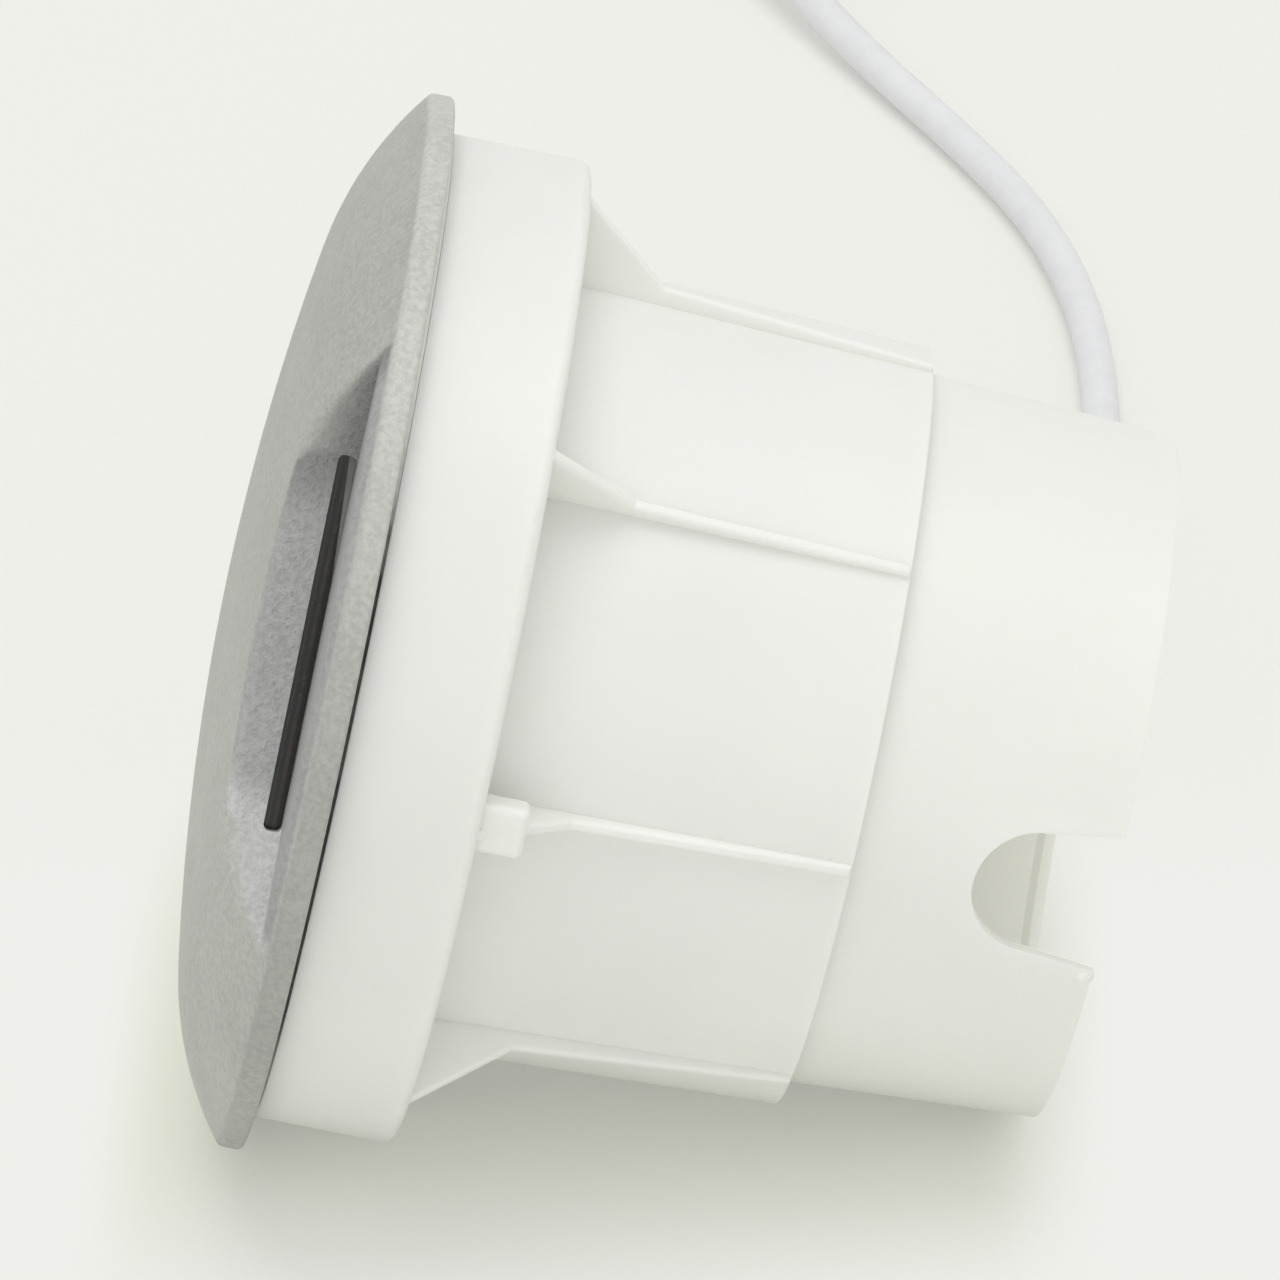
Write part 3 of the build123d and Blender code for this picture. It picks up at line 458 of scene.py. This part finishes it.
@dataclass(frozen=True)
class Rubber:
    """Matt rubber or silicone with a dusty bloom, and where given, painted light over it: near white at the
    lamp's top and greenish grey at its foot.
    """

    colour: Colour
    roughness: float = 0.75
    dust: float = 0.06
    # Painted light: greenish grey at the lamp's foot, near white at its top
    foot_colour: Colour | None = None
    top_colour: Colour | None = None
    foot_heights: tuple[float, float] = (-24.0, -16.0)
    top_heights: tuple[float, float] = (26.0, 41.0)
    ragged: float = 6.0

    def material(self, name: str) -> bpy.types.Material:
        """Make the rubber."""
        recipe = Recipe(name)
        bloom = recipe.noise(2.2 * MM, 4.0)
        fine = recipe.noise(0.25 * MM, 2.0)
        pale = tuple(c + self.dust for c in self.colour)
        skin = recipe.blend(bloom.ramp(0.35, 0.75), self.colour, pale)
        height = recipe.along(LAMP_UP, LAMP_ORIGIN) / MM + (bloom - 0.5) * self.ragged
        # Painted light over the rubber's own colour, by height: greenish grey at the foot, near white at the
        # top
        if self.foot_colour:
            skin = recipe.blend(height.ramp(*self.foot_heights, 1.0, 0.0), skin, self.foot_colour)
        if self.top_colour:
            skin = recipe.blend(height.ramp(*self.top_heights), skin, self.top_colour)
        recipe.set(Base_Color=skin)
        recipe.set(Roughness=self.roughness + fine * 0.1)
        recipe.bump(fine, 0.02 * MM)
        return recipe.material


@dataclass(frozen=True)
class ClearGlass:
    """Clear glass or acrylic, faintly dusty."""

    colour: Colour
    roughness: float = 0.03
    index: float = 1.5

    def material(self, name: str) -> bpy.types.Material:
        """Make the glass."""
        recipe = Recipe(name)
        dust = recipe.noise(1.5 * MM, 4.0)
        faint = tuple(c * 0.96 for c in self.colour)
        recipe.set(Base_Color=recipe.blend(dust.ramp(0.4, 0.8), self.colour, faint))
        recipe.set(Roughness=self.roughness + dust.ramp(0.5, 0.9) * 0.06)
        recipe.set(Transmission_Weight=0.9, IOR=self.index)
        return recipe.material


@dataclass(frozen=True)
class SlotGlass:
    """Window glass deep in the slot, painted near black for the shade there, with painted reflections: dark
    and brown lines along its depth, and a pale strip near its upper end.
    """

    # Painted shade near black, and painted reflections in brown and pale tones
    dark: Colour = (0.012, 0.012, 0.012)
    brown: Colour = (0.09, 0.07, 0.052)
    pale: Colour = (0.5, 0.5, 0.48)
    line_pitch: float = 0.55 * MM
    slot_angle: float = 64.04
    strip_side: float = -1.85
    strip_top: float = -17.4
    strip_taper: float = 0.06

    def material(self, name: str) -> bpy.types.Material:
        """Make the window."""
        recipe = Recipe(name)
        depth = recipe.along(REARWARD, LAMP_ORIGIN)
        down = recipe.along(REARWARD.cross(outward(self.slot_angle)), LAMP_ORIGIN) / MM
        lines = recipe.node(
            "ShaderNodeTexNoise", "Fac", {"noise_dimensions": "1D"},
            W=depth, Scale=1 / self.line_pitch, Detail=2.0,
        )
        dust = recipe.noise(1.2 * MM, 3.0)
        # Painted reflection: a pale strip near the upper end, and dark and brown lines along the depth
        taper = depth / MM - (down - self.strip_top) * self.strip_taper
        strip = taper.ramp(self.strip_side - 0.15, self.strip_side)
        painted_reflection_lines = recipe.blend(lines.ramp(0.48, 0.62) * dust.ramp(0.3, 0.6, 0.4, 1.0), self.dark, self.brown)
        recipe.set(Base_Color=recipe.blend(strip, painted_reflection_lines, self.pale))
        recipe.set(Roughness=0.12 + dust * 0.1)
        recipe.set(Transmission_Weight=0.35, IOR=1.5, Specular_IOR_Level=0.3)
        return recipe.material


@dataclass(frozen=True)
class CircuitBoard:
    """Solder mask over copper tracks, with a pad here and there."""

    mask: Colour
    track: Colour
    pitch: float = 2.4 * MM

    def material(self, name: str) -> bpy.types.Material:
        """Make the board's face."""
        recipe = Recipe(name)
        brick = recipe.node(
            "ShaderNodeTexBrick", "Fac", {"offset": 0.37}, Vector=recipe.place(), Scale=1 / self.pitch / 4,
            Mortar_Size=0.05, Brick_Width=1.3, Row_Height=0.6,
        )
        grain = recipe.noise(0.3 * MM, 2.0)
        recipe.set(Base_Color=recipe.blend(brick, self.mask, self.track))
        recipe.set(Roughness=0.3 + grain * 0.15)
        recipe.bump(brick * 0.7 + grain * 0.3, 0.03 * MM)
        return recipe.material


@dataclass(frozen=True)
class CableSheath:
    """Extruded PVC: drawn along its length, faintly wavy, with a soft gloss."""

    colour: Colour
    roughness: float = 0.38

    def material(self, name: str) -> bpy.types.Material:
        """Make the sheath."""
        recipe = Recipe(name)
        wave = recipe.noise(3.5 * MM, 2.0)
        scuff = recipe.noise(0.5 * MM, 3.0)
        shade = tuple(c * 0.96 for c in self.colour)
        recipe.set(Base_Color=recipe.blend(wave.ramp(0.3, 0.7), shade, self.colour))
        recipe.set(Roughness=self.roughness + scuff * 0.1)
        recipe.bump(wave * 0.6 + scuff * 0.4, 0.03 * MM)
        recipe.set(Subsurface_Weight=0.1, Subsurface_Radius=(1.0, 1.0, 1.1), Subsurface_Scale=0.8 * MM)
        return recipe.material


class Finish(Enum):
    """The finishes of the lamp's pieces, one for each slot of the record."""

    # The cover's coat carries painted shade and light in the scoop, on the rim and on the dome
    cover_paint = PowderCoat((0.43, 0.435, 0.41))
    # The sleeve's bore carries painted light: a paler, warmer colour and a faint painted glow
    sleeve_plastic = MouldedPlastic((0.85, 0.855, 0.825), glow=0.5, bore_colour=(0.97, 0.965, 0.88))
    # The black rubber carries painted light: greenish grey at the lamp's foot, near white at its top
    black_rubber = Rubber((0.03, 0.03, 0.03), foot_colour=(0.26, 0.28, 0.21), top_colour=(0.92, 0.92, 0.88))
    silicone = Rubber((0.62, 0.62, 0.58), 0.6, 0.03)
    # The window glass carries painted shade and painted reflections
    window_glass = SlotGlass()
    sink_aluminium = CastMetal((0.75, 0.76, 0.78), 0.35, depth=0.01 * MM)
    housing_aluminium = CastMetal((0.52, 0.53, 0.54))
    pad_grey = Rubber((0.35, 0.36, 0.4), 0.6, 0.03)
    board_white = CircuitBoard((0.82, 0.82, 0.8), (0.76, 0.75, 0.7))
    chip_phosphor = MouldedPlastic((0.85, 0.62, 0.1), 0.3)
    lens_acrylic = ClearGlass((0.95, 0.96, 0.97), 0.05, 1.49)
    reflector_bright = CastMetal((0.85, 0.86, 0.87), 0.08, depth=0.004 * MM)
    screw_steel = TurnedSteel((0.58, 0.57, 0.54))
    band_steel = TurnedSteel((0.55, 0.57, 0.6), 0.24)
    board_green = CircuitBoard((0.02, 0.16, 0.05), (0.04, 0.26, 0.08))
    capacitor_black = MouldedPlastic((0.02, 0.02, 0.03), 0.25)
    coil_copper = CastMetal((0.55, 0.2, 0.08), 0.3, 0.9, 0.7 * MM, 0.15 * MM)
    chip_black = MouldedPlastic((0.03, 0.03, 0.03), 0.5)
    terminal_green = MouldedPlastic((0.03, 0.24, 0.08), 0.35)
    wire_red = CableSheath((0.5, 0.02, 0.02))
    wire_black = CableSheath((0.02, 0.02, 0.02))
    gland_nylon = MouldedPlastic((0.035, 0.035, 0.037), 0.48, 0.03 * MM)
    cable_pvc = CableSheath((0.79, 0.795, 0.82))
    core_brown = CableSheath((0.12, 0.04, 0.015))
    core_blue = CableSheath((0.02, 0.06, 0.3))
    ferrule_tin = TurnedSteel((0.68, 0.68, 0.69), 0.2)


class Wardrobe:
    """The materials, made once for each finish, and put on the construction's pieces."""

    def __init__(self) -> None:
        """Start with no material made."""
        self.made: dict[str, bpy.types.Material] = {}

    def material(self, slot: str) -> bpy.types.Material:
        """Give the material of a slot, made when first asked for."""
        if slot not in self.made:
            self.made[slot] = Finish[slot].value.material(slot)
        return self.made[slot]

    def dress(self, piece: bpy.types.Object, slot: str) -> None:
        """Put one slot's material on a piece."""
        piece.data.materials.clear()
        piece.data.materials.append(self.material(slot))

    def dress_all(self) -> None:
        """Dress every piece of the construction by the record."""
        for entry in frame["record"]["subparts"]:
            self.dress(frame["nodes"][entry["node"]], entry["material_slot"])
            log.info("dressed %s in %s", entry["node"], entry["material_slot"])


@dataclass
class Lead:
    """The supply lead: from the gland through the far notch, over the table, into a flat coil."""

    wardrobe: Wardrobe
    diameter: float = 3.9
    exit_u: float = 68.75
    exit_row: float = 32.792
    far_angle: float = 260.8
    gland_rear: float = 51.05
    lead_out: float = 17.0
    lead_in: float = 12.0
    coil_centre: tuple[float, float] = (13.2, 256.6)
    coil_turn: float = 26.6
    coil_pitch: float = 4.42
    coil_half_turns: int = 5
    coil_gap: float = 0.5
    coil_entry: float = 207.0
    half_turn_points: int = 8
    length: float = 977.3
    places: tuple[tuple[float, float, float], ...] = (
        (34.5, 73.1, 15.05),
        (37.4, 95.1, 5.45),
        (38.1, 113.1, 0.0),
        (37.5, 131.1, 0.0),
        (35.3, 148.6, 0.0),
        (30.2, 166.6, 0.0),
        (21.8, 184.1, 0.0),
        (11.5, 202.1, 0.45),
        (1.4, 220.5, 2.45),
    )

    def exit_point(self) -> Vector:
        """Give the point where the lead leaves the sleeve, in metres."""
        return lamp_point(self.exit_u, self.exit_row, self.far_angle)

    def coil_points(self, start: Vector, heading: Vector) -> list[Vector]:
        """Work out the coil's control points.

        Args:
            start: Where the first turn starts, in millimetres.
            heading: Direction of the lead there.

        Returns:
            The points in millimetres, the last one past the last turn.
        """
        step = self.coil_pitch / 2
        inward_radii = [self.coil_turn - i * step for i in range(self.coil_half_turns)]
        drop_radius = self.coil_turn - self.coil_half_turns * step
        count = self.half_turn_points
        swell = 1 / (0.75 + 0.25 * math.cos(math.pi / count))
        points = []
        place = start
        for radius in [*inward_radii, drop_radius, *reversed(inward_radii)]:
            side = Vector((heading.y, -heading.x, 0.0))
            centre = place + side * radius
            drop = self.diameter + self.coil_gap if radius == drop_radius else 0.0
            for i in range(count):
                turn = math.pi * (i + 0.5) / count
                spoke = -side * math.cos(turn) + heading * math.sin(turn)
                sunk = Vector((0.0, 0.0, -drop * (i + 0.5) / count))
                points.append(centre + spoke * radius * swell + sunk)
            place = place + side * (2 * radius) + Vector((0.0, 0.0, -drop))
            heading = -heading
        points.append(place + heading * self.diameter)
        return points

    def route(self) -> list[Vector]:
        """Give the free lead's control points, in metres."""
        radius = self.diameter / 2
        turn = math.radians(self.coil_entry)
        heading = Vector((math.sin(turn), -math.cos(turn), 0.0))
        side = Vector((math.cos(turn), math.sin(turn), 0.0))
        high = radius + self.diameter + self.coil_gap
        start = Vector((*self.coil_centre, high)) + side * self.coil_turn
        mouth = start - heading * self.diameter
        points = [
            self.exit_point() / MM,
            self.exit_point() / MM + outward(self.far_angle) * self.lead_out,
            *[Vector((x, y, height + radius)) for x, y, height in self.places],
            mouth - heading * self.lead_in,
            mouth,
            *self.coil_points(start, heading),
        ]
        return [point * MM for point in points]

    def curve(self, name: str, points: list[Vector]) -> bpy.types.Object:
        """Make a round tube along a smooth line.

        Args:
            name: The piece's name.
            points: The line's control points, in metres.

        Returns:
            The curve object.
        """
        data = bpy.data.curves.new(name, "CURVE")
        data.dimensions = "3D"
        spline = data.splines.new("NURBS")
        spline.points.add(len(points) - 1)
        for target, point in zip(spline.points, points):
            target.co = (*point, 1.0)
        spline.order_u = 3
        spline.use_endpoint_u = True
        spline.resolution_u = 10
        data.bevel_depth = self.diameter / 2 * MM
        data.bevel_resolution = 8
        data.use_fill_caps = True
        piece = bpy.data.objects.new(name, data)
        bpy.context.scene.collection.objects.link(piece)
        piece.data.materials.append(self.wardrobe.material("cable_pvc"))
        return piece

    def free_lead(self) -> bpy.types.Object:
        lead = self.curve("lead", self.route())
        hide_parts("supply_cable", "cable_coil")
        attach(lead, "sleeve")
        return lead

    def inner_lead(self) -> bpy.types.Object:
        """Make the bent stretch from the gland to the notch."""
        far = self.far_angle
        bend = self.exit_u - self.gland_rear
        points = [
            lamp_point(self.gland_rear, 0.0, far),
            lamp_point(self.gland_rear + bend * 0.45, 0.0, far),
            lamp_point(self.exit_u - bend * 0.12, bend * 0.12, far),
            lamp_point(self.exit_u, bend * 0.55, far),
            lamp_point(self.exit_u, self.exit_row - self.diameter, far),
            self.exit_point(),
        ]
        curve = self.curve("lead_inner_line", points)
        curve.data.splines[0].resolution_u = 16
        mesh = bpy.data.meshes.new_from_object(curve.evaluated_get(bpy.context.evaluated_depsgraph_get()))
        bpy.data.objects.remove(curve)
        inner = bpy.data.objects.new("lead_inner", mesh)
        bpy.context.scene.collection.objects.link(inner)
        self.wardrobe.dress(inner, "cable_pvc")
        mesh.polygons.foreach_set("use_smooth", [True] * len(mesh.polygons))
        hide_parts("cable_inner")
        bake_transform(inner)
        return inner


@dataclass
class Studio:
    """The table, the soft light and the camera that took the photo."""

    backdrop: Colour = (0.863, 0.871, 0.831)
    table_colour: Colour = (0.855, 0.862, 0.825)
    table_half: float = 3.0
    shade_share: float = 0.66
    # Painted shadow colour: a greenish tint in the table's colour near the lamp
    shade_tint: Colour = (0.975, 0.985, 0.87)
    shade_left: tuple[float, float] = (-57.0, -49.0)
    shade_right: tuple[float, float] = (27.0, 41.0)
    shade_front: tuple[float, float] = (-60.0, -8.0)
    shade_behind: tuple[float, float] = (30.0, 70.0)
    front_share: float = 0.4
    # Where the painted shadow colour reaches, in front of and behind the lamp
    tint_front: tuple[float, float] = (-45.0, -12.0)
    tint_behind: tuple[float, float] = (20.0, 50.0)
    ambient: float = 0.67
    overhead: float = 1.0
    overhead_from: tuple[float, float, float] = (0.0, 0.0, 1.0)
    overhead_spread: float = 40.0
    front: float = 0.58
    front_from: tuple[float, float, float] = (-0.1, -1.0, 0.08)
    front_spread: float = 60.0
    aim: tuple[float, float, float] = (-2.94, 0.32, 46.28)
    distance: float = 1149.6
    azimuth: float = 3.688
    elevation: float = 30.007
    roll: float = -2.289
    lens: float = 347.05
    sensor: float = 36.0

    def camera(self) -> None:
        """Set up the camera at the photo's angle."""
        turn, rise = math.radians(self.azimuth), math.radians(self.elevation)
        back = Vector((math.sin(turn) * math.cos(rise), -math.cos(turn) * math.cos(rise), math.sin(rise)))
        data = bpy.data.cameras.new("photo_camera")
        data.lens = self.lens
        data.sensor_width = self.sensor
        data.clip_start = 0.05
        data.clip_end = 20.0
        camera = bpy.data.objects.new("photo_camera", data)
        bpy.context.scene.collection.objects.link(camera)
        look = (-back).to_track_quat("-Z", "Y").to_matrix().to_4x4()
        tip = Matrix.Rotation(math.radians(self.roll), 4, "Z")
        place = Matrix.Translation(Vector(self.aim) * MM + back * (self.distance * MM))
        camera.matrix_world = place @ look @ tip
        bpy.context.scene.camera = camera

    def seen_directly(self, recipe: Recipe) -> Signal:
        """Give 1 for rays that come from the camera, a reflection or through glass."""
        path = recipe.node("ShaderNodeLightPath", "Is Camera Ray")
        rays = path.socket.node.outputs
        glossy = Signal(recipe.tree, rays["Is Glossy Ray"])
        through = Signal(recipe.tree, rays["Is Transmission Ray"])
        return path.largest(glossy).largest(through)

    def table(self) -> None:
        """Lay the pale table top, which keeps the lamp's shadow."""
        half = self.table_half
        corners = [(-half, -half, 0.0), (half, -half, 0.0), (half, half, 0.0), (-half, half, 0.0)]
        mesh = bpy.data.meshes.new("table_top")
        mesh.from_pydata(corners, [], [(0, 1, 2, 3)])
        table = bpy.data.objects.new("table_top", mesh)
        bpy.context.scene.collection.objects.link(table)
        recipe = Recipe("table_top")
        grain = recipe.noise(0.6 * MM, 2.0)
        shade = tuple(c * 0.99 for c in self.table_colour)
        plain = recipe.blend(grain.ramp(0.3, 0.7), shade, self.table_colour)
        # Painted shadow colour: the table's base colour takes a greenish tint near the lamp, where its shadow
        # falls
        away = recipe.along(Vector((0.0, 1.0, 0.0)), Vector()) / MM
        shadow_tint_mask = away.ramp(*self.tint_front) * away.ramp(*self.tint_behind, 1.0, 0.0)
        recipe.set(Base_Color=plain * recipe.blend(shadow_tint_mask, (1.0, 1.0, 1.0), self.shade_tint))
        recipe.set(Roughness=0.7, Specular_IOR_Level=0.1)
        glow = recipe.node("ShaderNodeEmission", Color=(*self.backdrop, 1.0), Strength=1.0)
        bare = 1.0 - self.shading(recipe) * self.shade_share
        mixed = self.tree_mix(recipe, self.seen_directly(recipe) * bare, glow)
        recipe.tree.links.new(mixed.socket, recipe.output.inputs["Surface"])
        table.data.materials.append(recipe.material)

    def shading(self, recipe: Recipe) -> Signal:
        """Give how strongly the table's shading shows: fully at the lamp, less round it."""
        across = recipe.along(Vector((1.0, 0.0, 0.0)), Vector()) / MM
        away = recipe.along(Vector((0.0, 1.0, 0.0)), Vector()) / MM
        left = across.ramp(*self.shade_left)
        right = across.ramp(*self.shade_right, 1.0, 0.0)
        behind = away.ramp(*self.shade_behind)
        front = away.ramp(*self.shade_front, self.front_share, 1.0)
        return (left * right).largest(behind) * front

    def tree_mix(self, recipe: Recipe, factor: Signal, other: Signal) -> Signal:
        """Mix the Principled shader with another one."""
        node = recipe.tree.nodes.new("ShaderNodeMixShader")
        recipe.tree.links.new(factor.socket, node.inputs[0])
        recipe.tree.links.new(recipe.shader.outputs[0], node.inputs[1])
        recipe.tree.links.new(other.socket, node.inputs[2])
        return Signal(recipe.tree, node.outputs[0])

    def world(self) -> None:
        """Fill the room with even light, and show the backdrop's colour past the table."""
        world = bpy.data.worlds.new("room")
        bpy.context.scene.world = world
        world.use_nodes = True
        tree = world.node_tree
        tree.nodes.clear()
        output = tree.nodes.new("ShaderNodeOutputWorld")
        path = tree.nodes.new("ShaderNodeLightPath")
        lit = tree.nodes.new("ShaderNodeBackground")
        lit.inputs["Color"].default_value = (1.0, 1.0, 0.98, 1.0)
        lit.inputs["Strength"].default_value = self.ambient
        seen = tree.nodes.new("ShaderNodeBackground")
        seen.inputs["Color"].default_value = (*self.backdrop, 1.0)
        seen.inputs["Strength"].default_value = 1.0
        mix = tree.nodes.new("ShaderNodeMixShader")
        camera = Signal(tree, path.outputs["Is Camera Ray"])
        glossy = Signal(tree, path.outputs["Is Glossy Ray"])
        through = Signal(tree, path.outputs["Is Transmission Ray"])
        either = camera.largest(glossy).largest(through)
        tree.links.new(either.socket, mix.inputs[0])
        tree.links.new(lit.outputs[0], mix.inputs[1])
        tree.links.new(seen.outputs[0], mix.inputs[2])
        tree.links.new(mix.outputs[0], output.inputs["Surface"])

    def light(self, name: str, strength: float, source: tuple[float, float, float], spread: float) -> None:
        """Hang one wide soft light.

        Args:
            name: The light's name.
            strength: Its light on a facing surface, in watts per square metre.
            source: Direction it comes from.
            spread: Width of its source as seen from the lamp, in degrees.
        """
        data = bpy.data.lights.new(name, "SUN")
        data.energy = strength
        data.angle = math.radians(spread)
        data.color = (1.0, 1.0, 0.985)
        light = bpy.data.objects.new(name, data)
        bpy.context.scene.collection.objects.link(light)
        light.matrix_world = Vector(source).to_track_quat("Z", "Y").to_matrix().to_4x4()

    def build(self) -> None:
        """Set the view transform and build everything round the object."""
        bpy.context.scene.view_settings.view_transform = "Standard"
        self.camera()
        self.table()
        self.world()
        self.light("overhead_light", self.overhead, self.overhead_from, self.overhead_spread)
        self.light("front_light", self.front, self.front_from, self.front_spread)


def main() -> None:
    """Build the studio, the lead and every finish."""
    logging.basicConfig(level=logging.INFO, format="%(message)s")
    Studio().build()
    log.info("studio is up")
    wardrobe = Wardrobe()
    lead = Lead(wardrobe)
    for piece in (lead.free_lead(), lead.inner_lead()):
        log.info("made %s", piece.name)
    wardrobe.dress_all()


if __name__ == "__main__":
    main()
